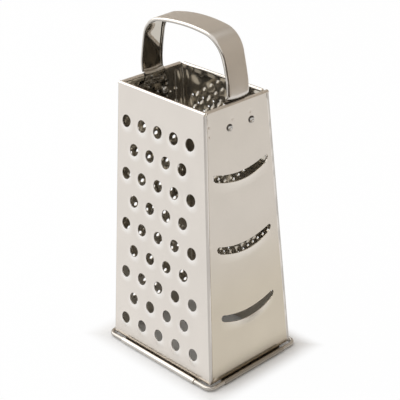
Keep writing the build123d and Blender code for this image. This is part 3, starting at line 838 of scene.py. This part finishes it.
def base_wire(materials):
    """A circle carried round a rectangle with turned corners."""
    half_x, half_y = (
        base / 2 - curl_middle(tilt) * np.sin(tilt) + (CURL_RADIUS + CURL_OUT) * np.cos(tilt)
        for base, tilt in ((BASE_WIDTH, WIDTH_TILT), (BASE_DEPTH, DEPTH_TILT))
    )
    turn = np.linspace(0, np.pi / 2, WIRE_CORNER_STEPS + 1)
    turn = np.concatenate([turn + quarter * np.pi / 2 for quarter in range(4)])
    corner = np.repeat(((1, 1), (-1, 1), (-1, -1), (1, -1)), WIRE_CORNER_STEPS + 1, axis=0)
    facing = np.stack((np.cos(turn), np.sin(turn)), axis=-1)
    bend = np.array((half_x, half_y)) - WIRE_CORNER_RADIUS
    line = corner * bend + WIRE_CORNER_RADIUS * facing
    section = np.linspace(0, 2 * np.pi, WIRE_SIDES, endpoint=False)[None, :, None]
    flat = line[:, None, :] + WIRE_RADIUS * np.cos(section) * facing[:, None, :]
    z = np.broadcast_to(WIRE_HEIGHT + WIRE_RADIUS * np.sin(section), flat.shape[:2] + (1,))
    ring = np.concatenate((flat, z), axis=-1)
    ring = np.concatenate((ring, ring[:1]))
    surface = Surface()
    surface.grid(ring[:, ::-1], closed=True)
    return surface.mesh_object("base_wire_ring", None, materials, smooth_angle=60.0)


# Materials
class Nodes:
    """The node tree of a material or a world, filled by one call for each node."""

    def __init__(self, owner):
        owner.use_nodes = True
        self.nodes, self.links = owner.node_tree.nodes, owner.node_tree.links

    def join(self, node, inputs):
        """Each named input gets its value, or a link from the output that is given for it."""
        if isinstance(node, str):
            node = self.nodes[node]
        for name, value in inputs.items():
            if isinstance(value, bpy.types.NodeSocket):
                self.links.new(value, node.inputs[name])
            else:
                node.inputs[name].default_value = value
        return node

    def add(self, kind, output, inputs=None, **settings):
        """A new node's output."""
        node = self.nodes.new("ShaderNode" + kind)
        for name, value in settings.items():
            setattr(node, name, value)
        return self.join(node, inputs or {}).outputs[output]


# Noise for the drawn grain and for the mottle, the mottle's tones, the roughness's shares and the
# grain's relief in metres. Low down, between two heights in metres, the metal takes painted shade
# for the floor's shadow that it mirrors.
GRAIN_NOISE, MOTTLE_NOISE = {"Scale": 900.0, "Detail": 3.0}, {"Scale": 45.0, "Detail": 2.0}
MOTTLE_TONES, GLOSS_SHARES, GRAIN_RELIEF = (0.95, 1.04), (0.85, 1.15), 0.0004
FOOT_SHADE_START, FOOT_SHADE_END = 0.115, 0.045
EVEN_GRAIN, UPRIGHT_GRAIN, STRIP_GRAIN = (1, 1, 1), (1, 1, 0.12), (0.12, 1, 0.12)


def metal(
    name, colour, roughness, grain=EVEN_GRAIN, bump=0.02, painted_light=None, low=None, metallic=1.0,
    painted_shade=-0.3,
):
    """Satin stainless steel: fine drawn grain in its roughness and relief, and a faint mottle.

    The lift attribute mixes in a second colour: a painted highlight on raised teeth, burrs, bumps
    and blades, and painted shade deep in a rivet's bore. Where the bend attribute says that the
    sheet is turned round a corner or lies in a crevice, a share is added to its tone as painted
    shade. low is the colour that it takes towards the table: painted shade for the floor's shadow
    that it mirrors.
    """
    material = bpy.data.materials.new(name)
    tree = Nodes(material)
    place = tree.add("TexCoord", "Object")
    drawn = tree.add("Mapping", "Vector", {"Vector": place, "Scale": grain})
    brushed = tree.add("TexNoise", "Fac", {"Vector": drawn, **GRAIN_NOISE})
    mottle = tree.add("TexNoise", "Fac", {"Vector": place, **MOTTLE_NOISE})
    least, most = MOTTLE_TONES
    tone = tree.add("MapRange", "Result", {"Value": mottle, "To Min": least, "To Max": most})
    bend = tree.add("Attribute", "Fac", attribute_name="bend")
    shaded_tone = tree.add("Math", "Value", {0: bend, 1: painted_shade, 2: tone}, operation="MULTIPLY_ADD")
    if low:
        height = tree.add("SeparateXYZ", "Z", {"Vector": place})
        reach = {"Value": height, "From Min": FOOT_SHADE_START, "From Max": FOOT_SHADE_END}
        foot_shade = tree.add("MapRange", "Result", reach, interpolation_type="SMOOTHSTEP")
        colours = {"Factor": foot_shade, "A": (*colour, 1.0), "B": (*low, 1.0)}
        colour = tree.add("Mix", "Result", colours, data_type="RGBA")
    base = tree.add("VectorMath", "Vector", {0: colour, "Scale": shaded_tone}, operation="SCALE")
    if painted_light:
        lift = tree.add("Attribute", "Fac", attribute_name="lift")
        colours = {"Factor": lift, "A": base, "B": (*painted_light, 1.0)}
        base = tree.add("Mix", "Result", colours, data_type="RGBA")
    least, most = (roughness * share for share in GLOSS_SHARES)
    gloss = tree.add("MapRange", "Result", {"Value": brushed, "To Min": least, "To Max": most})
    relief = {"Height": brushed, "Strength": bump, "Distance": GRAIN_RELIEF}
    relief = tree.add("Bump", "Normal", relief)
    finish = {"Base Color": base, "Metallic": metallic, "Roughness": gloss, "Normal": relief}
    tree.join("Principled BSDF", finish)
    return material


# Stage: pale floor, soft light and white surroundings
WHITE = (1, 1, 1, 1)
FLOOR_REACH = 3000.0
# Half the size of the box on the floor, in metres, where the floor's own colour is, and the share
# of it where that starts to turn white and the one where it is white
SHADOW_BOX, SHADOW_START, SHADOW_END = (0.0525, 0.042), 0.95, 1.3
CARD_POINTS = 60


def white_to_eyes(tree):
    """1 for rays that come from the camera or by way of a reflection or a transmission."""
    rays = tree.add("LightPath", "Is Camera Ray").node.outputs
    seen = rays["Is Camera Ray"]
    for ray in ("Is Glossy Ray", "Is Transmission Ray"):
        seen = tree.add("Math", "Value", {0: seen, 1: rays[ray]}, operation="ADD", use_clamp=True)
    return seen


def stage_world(level):
    """White to the eye, and light of the given level on the object."""
    world = bpy.data.worlds.new("surroundings")
    tree = Nodes(world)
    light = tree.join("Background", {"Color": WHITE, "Strength": level}).outputs[0]
    white = tree.add("Background", "Background", {"Color": WHITE, "Strength": 1.0})
    seen = tree.add("MixShader", "Shader", {"Fac": white_to_eyes(tree), 1: light, 2: white})
    tree.join("World Output", {"Surface": seen})
    bpy.context.scene.world = world


def paper(name, colour, white):
    """Matt paper. white is how far it turns plain white for the eye and the metal that mirrors it.

    That starts at the foot's outline and grows by an S curve of how many times larger a box
    through the point would be, so the object's shadow stays.
    """
    material = bpy.data.materials.new(name)
    tree = Nodes(material)
    finish = {"Base Color": (*colour, 1), "Roughness": 0.9, "Specular IOR Level": 0.0}
    matt = tree.join("Principled BSDF", finish).outputs["BSDF"]
    if not white:
        return material
    place = tree.add("TexCoord", "Object")
    shares = {0: place, 1: (1 / SHADOW_BOX[0], 1 / SHADOW_BOX[1], 0)}
    scaled = tree.add("VectorMath", "Vector", shares, operation="MULTIPLY")
    folded = tree.add("VectorMath", "Vector", {0: scaled}, operation="ABSOLUTE")
    along_x = tree.add("SeparateXYZ", "X", {"Vector": folded})
    along_y = along_x.node.outputs["Y"]
    far = tree.add("Math", "Value", {0: along_x, 1: along_y}, operation="MAXIMUM")
    reach = {"Value": far, "From Min": SHADOW_START, "From Max": SHADOW_END, "To Max": white}
    spread = tree.add("MapRange", "Result", reach, interpolation_type="SMOOTHSTEP")
    strength = tree.add("Math", "Value", {0: white_to_eyes(tree), 1: spread}, operation="MULTIPLY")
    plain = tree.add("Emission", "Emission")
    seen = tree.add("MixShader", "Shader", {"Fac": strength, 1: matt, 2: plain})
    tree.join("Material Output", {"Surface": seen})
    return material


def stage_floor():
    """A large flat square that the curls stand on."""
    surface = Surface()
    reach = np.linspace(-FLOOR_REACH, FLOOR_REACH, 3)
    x, y = np.meshgrid(reach, reach)
    surface.grid(np.stack((x, y, np.full_like(x, -FLOOR_DROP)), axis=-1))
    surface.mesh_object("floor", None, (paper("floor_paper", (0.93, 0.93, 0.93), 0.98),))


def stage_card(name, radius, azimuths, heights, colour):
    """A card round the table, from one azimuth to another: a part of an upright cylinder."""
    surface = Surface()
    turn = np.radians(np.linspace(*azimuths, CARD_POINTS))[None, :]
    height = np.array(heights)[:, None]
    points = np.broadcast_arrays(radius * np.cos(turn), radius * np.sin(turn), height)
    surface.grid(np.stack(points, axis=-1)[:, ::-1])
    card = surface.mesh_object(name, None, (paper(name + "_paper", colour, 0.0),))
    card.visible_camera = False
    return card


def set_pose(piece, place, right, up, back):
    """The piece moved to its place, with its own axes along the three directions."""
    piece.matrix_world = Matrix.Translation(place) @ Matrix((right, up, back)).transposed().to_4x4()


def soft_lamp(name, place, aim, size, power):
    """A square lamp that faces its aim, with places in metres."""
    lamp = bpy.data.lights.new(name, "AREA")
    lamp.shape = "SQUARE"
    lamp.size = size
    lamp.energy = power
    piece = bpy.data.objects.new(name, lamp)
    bpy.context.scene.collection.objects.link(piece)
    away = np.array(place) - np.array(aim)
    back = away / np.linalg.norm(away)
    right = np.cross((0, 0, 1), back)
    right /= np.linalg.norm(right)
    set_pose(piece, place, right, np.cross(back, right), back)


def camera():
    """The photograph's view: 400 by 400 pixels, 1116 pixels of focal length."""
    lens = bpy.data.cameras.new("camera")
    lens.sensor_width = 36.0
    lens.lens = 100.44
    lens.clip_start = 0.01
    piece = bpy.data.objects.new("camera", lens)
    bpy.context.scene.collection.objects.link(piece)
    set_pose(
        piece,
        place=(0.4842, -0.4407, 0.4184),
        right=(0.68618126, 0.7267752, -0.03087226),
        up=(-0.29402806, 0.31592388, 0.90207516),
        back=(0.66535914, -0.60990976, 0.43047335),
    )
    bpy.context.scene.camera = piece


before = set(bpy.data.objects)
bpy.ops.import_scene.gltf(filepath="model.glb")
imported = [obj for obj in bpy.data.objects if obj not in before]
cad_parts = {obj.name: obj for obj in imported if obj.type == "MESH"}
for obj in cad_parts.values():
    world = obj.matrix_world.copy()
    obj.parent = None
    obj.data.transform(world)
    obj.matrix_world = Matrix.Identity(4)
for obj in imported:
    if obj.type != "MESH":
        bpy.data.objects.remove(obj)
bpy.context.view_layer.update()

camera()
stage_world(0.7)
stage_floor()
stage_card(
    "grey_card", radius=1100.0, azimuths=(-25.0, 165.0), heights=(0.0, 1700.0),
    colour=(0.7, 0.65, 0.59),
)
# A dark card that only reflections see: a painted dark reflection, standing in for the shade on the
# camera's side
dark_card = stage_card(
    "dark_card", radius=540.0, azimuths=(-112.0, 0.0), heights=(95.0, 260.0),
    colour=(0.1, 0.08, 0.06),
)
dark_card.visible_diffuse = dark_card.visible_shadow = False
soft_lamp("left_lamp", place=(-0.85, -0.35, 1.0), aim=(0, 0, 0.1), size=1.4, power=8.5)

# Its lift colour paints a highlight on raised teeth and burrs, and low paints shade towards the
# table
outer_steel = metal(
    "satin_sheet", (0.76, 0.71, 0.655), 0.24, UPRIGHT_GRAIN, painted_light=(0.93, 0.91, 0.88),
    low=(0.755, 0.705, 0.65),
)
# The narrow walls' steel is a darker copy of the satin sheet: painted shade. Its lift colour paints
# highlights on bumps and blades, and low paints darker, warmer shade towards the table
shaded_narrow_steel = metal(
    "shaded_narrow_sheet", (0.65, 0.595, 0.53), 0.24, UPRIGHT_GRAIN, painted_light=(0.74, 0.69, 0.62),
    low=(0.59, 0.525, 0.425),
)
# The sheets' inner faces are a darker, less metallic copy of the steel: painted shade inside the
# box
shaded_inner_steel = metal(
    "shaded_inner_sheet", (0.62, 0.575, 0.5), 0.05, UPRIGHT_GRAIN, bump=0.0, metallic=0.88, painted_shade=0.0
)
broad_curl = metal("broad_curl", (0.6, 0.57, 0.53), 0.16)
# The narrow walls' curl is darker than the broad walls' one: painted shade
shaded_narrow_curl = metal("shaded_narrow_curl", (0.33, 0.3, 0.26), 0.16)
strip_steel = metal("strip_sheet", (0.68, 0.64, 0.59), 0.18, STRIP_GRAIN)
# The strip's inner face is a darker copy of its steel: painted shade inside the fold
shaded_strip_inside = metal("shaded_strip_inside", (0.56, 0.52, 0.46), 0.06, STRIP_GRAIN)
wire_steel = metal("drawn_wire", (0.5, 0.47, 0.43), 0.2)
# The rivet's lift colour is near black: painted shade in its tail and cup
rivet_steel = metal("bright_rivet", (0.6, 0.575, 0.54), 0.16, painted_light=(0.05, 0.045, 0.04))

set_piece(coarse_panel((outer_steel, shaded_inner_steel, broad_curl)), "body_sheet", "coarse_panel")
set_piece(fine_panel((outer_steel, shaded_inner_steel, broad_curl)), "body_sheet", "fine_panel")
set_piece(medium_panel((shaded_narrow_steel, shaded_inner_steel, shaded_narrow_curl)), "body_sheet", "medium_panel")
set_piece(slicing_panel((shaded_narrow_steel, shaded_inner_steel, shaded_narrow_curl)), "body_sheet", "slicing_panel")
set_piece(handle_strip((strip_steel, shaded_strip_inside)), "handle_strip", "handle")
set_piece(base_wire((wire_steel,)), "wire", "base_wire")
set_piece(
    rivets("slicing_side_rivet_pair", SLICING_WALL, (rivet_steel,)), "rivet", "slicing_side_rivets"
)
set_piece(
    rivets("medium_side_rivet_pair", MEDIUM_WALL, (rivet_steel,)), "rivet", "medium_side_rivets"
)

bpy.context.scene.view_settings.view_transform = "Standard"
